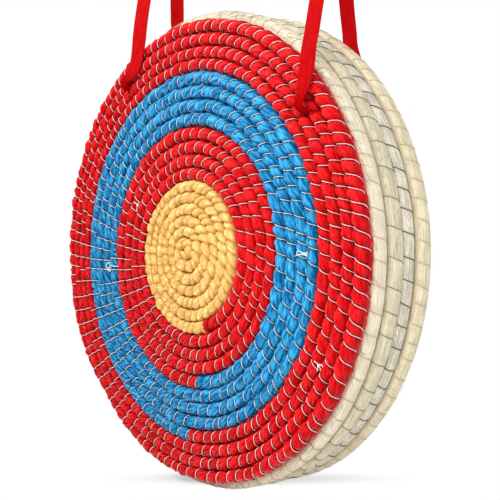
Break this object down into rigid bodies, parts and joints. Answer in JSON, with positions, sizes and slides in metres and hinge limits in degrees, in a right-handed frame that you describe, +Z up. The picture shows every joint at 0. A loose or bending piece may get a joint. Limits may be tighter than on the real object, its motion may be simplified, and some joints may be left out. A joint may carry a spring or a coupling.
{
  "type": "archery target boss",
  "caption": "Round straw archery target boss: a dyed coiled face with coloured rings over plain coiled straw layers, tied through and hung by webbing loops.",
  "frame": {"origin": "middle of the boss's box, without its straps: on the axis of the disc, halfway through its thickness", "axes": "+Y out of the back face, so the coloured face looks toward -Y; +Z up toward the hanging loops; +X to the right seen from the front"},
  "size_m": [0.4914, 0.1101, 0.6134],
  "materials": {
    "gold_rope": "satin dyed fibre, loosely twisted",
    "red_rope": "satin dyed fibre, loosely twisted",
    "blue_rope": "satin dyed fibre, loosely twisted",
    "straw": "dull dry straw rope",
    "cord": "thin white cord",
    "webbing": "smooth woven webbing"
  },
  "bodies": {
    "boss": {"gold_coil": "gold_rope", "inner_red_coil": "red_rope", "blue_coil": "blue_rope", "outer_red_coil": "red_rope", "straw_coil_2": "straw", "straw_coil_3": "straw", "straw_coil_4": "straw", "straw_coil_5": "straw", "layer_tie_1": "cord", "layer_tie_2": "cord", "layer_tie_3": "cord", "layer_tie_4": "cord", "layer_tie_5": "cord", "layer_tie_6": "cord"},
    "left_strap": {"left_strap": "webbing"},
    "right_strap": {"right_strap": "webbing"}
  },
  "joints": [
    {"name": "left_strap_swing", "type": "hinge", "parent": "boss", "child": "left_strap", "pos_m": [-0.11454, 0, 0.18705], "axis": [0, 1, 0], "range_deg": [-60, 10]},
    {"name": "right_strap_swing", "type": "hinge", "parent": "boss", "child": "right_strap", "pos_m": [0.16622, 0, 0.13577], "axis": [0, 1, 0], "range_deg": [-10, 60]}
  ]
}
